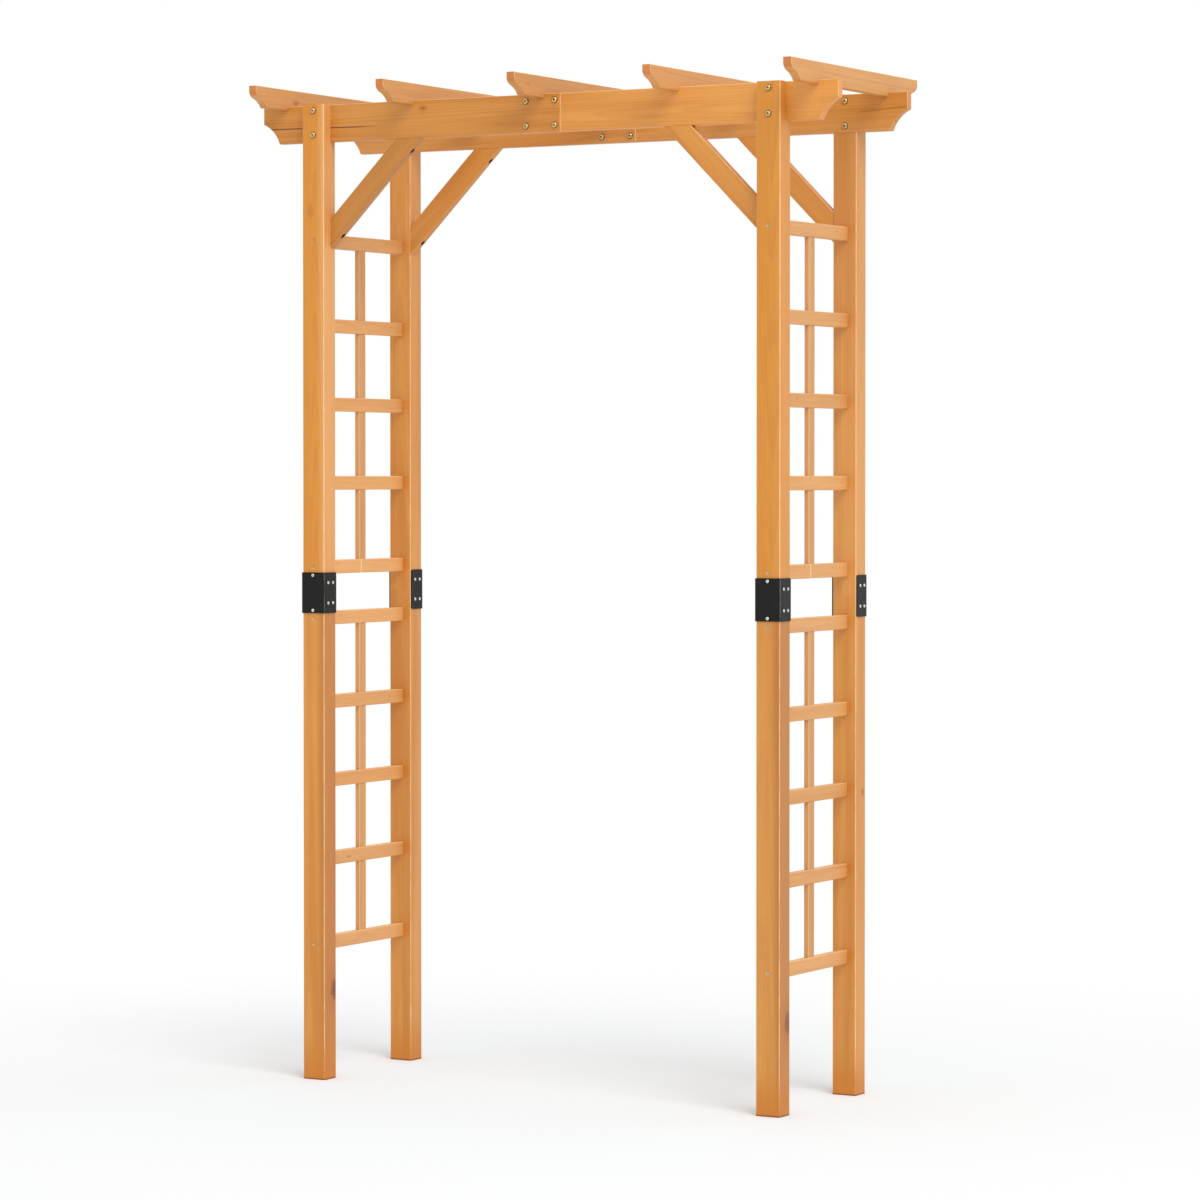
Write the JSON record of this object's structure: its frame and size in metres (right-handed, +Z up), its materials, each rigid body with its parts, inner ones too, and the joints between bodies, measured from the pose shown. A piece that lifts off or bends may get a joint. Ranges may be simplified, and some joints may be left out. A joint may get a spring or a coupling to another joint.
{
  "type": "garden arch",
  "caption": "Free-standing wooden garden arch: jointed posts with trellis sides, braced beams and notched rafters, for training climbing plants over a path.",
  "frame": {"origin": "on the ground, midway between the four posts", "axes": "+X along the beams, across the passage; +Y through the passage from front to rear; +Z up"},
  "size_m": [1.3, 0.55, 2],
  "materials": {
    "stained_wood": "planed softwood with an orange-brown stain, satin",
    "black_steel": "satin black paint",
    "yellow_zinc": "yellow zinc plate, satin",
    "bright_zinc": "bright zinc plate"
  },
  "bodies": {
    "root": {"brace_screws": "bright_zinc", "bracket_screws": "bright_zinc", "front_beam_left": "stained_wood", "front_beam_right": "stained_wood", "front_left_brace": "stained_wood", "front_left_bracket": "black_steel", "front_left_post_lower": "stained_wood", "front_left_post_upper": "stained_wood", "front_right_brace": "stained_wood", "front_right_bracket": "black_steel", "front_right_post_lower": "stained_wood", "front_right_post_upper": "stained_wood", "left_lower_rung_1": "stained_wood", "left_lower_rung_2": "stained_wood", "left_lower_rung_3": "stained_wood", "left_lower_rung_4": "stained_wood", "left_lower_rung_5": "stained_wood", "left_lower_slat": "stained_wood", "left_upper_rung_1": "stained_wood", "left_upper_rung_2": "stained_wood", "left_upper_rung_3": "stained_wood", "left_upper_rung_4": "stained_wood", "left_upper_rung_5": "stained_wood", "left_upper_slat": "stained_wood", "post_bolts": "yellow_zinc", "post_sleeve_nuts": "yellow_zinc", "rafter_1": "stained_wood", "rafter_2": "stained_wood", "rafter_3": "stained_wood", "rafter_4": "stained_wood", "rafter_5": "stained_wood", "rafter_screws": "bright_zinc", "rear_beam_left": "stained_wood", "rear_beam_right": "stained_wood", "rear_left_brace": "stained_wood", "rear_left_bracket": "black_steel", "rear_left_post_lower": "stained_wood", "rear_left_post_upper": "stained_wood", "rear_right_brace": "stained_wood", "rear_right_bracket": "black_steel", "rear_right_post_lower": "stained_wood", "rear_right_post_upper": "stained_wood", "right_lower_rung_1": "stained_wood", "right_lower_rung_2": "stained_wood", "right_lower_rung_3": "stained_wood", "right_lower_rung_4": "stained_wood", "right_lower_rung_5": "stained_wood", "right_lower_slat": "stained_wood", "right_upper_rung_1": "stained_wood", "right_upper_rung_2": "stained_wood", "right_upper_rung_3": "stained_wood", "right_upper_rung_4": "stained_wood", "right_upper_rung_5": "stained_wood", "right_upper_slat": "stained_wood", "rung_screws": "bright_zinc", "splice_bolts": "yellow_zinc", "splice_sleeve_nuts": "yellow_zinc"}
  },
  "joints": []
}
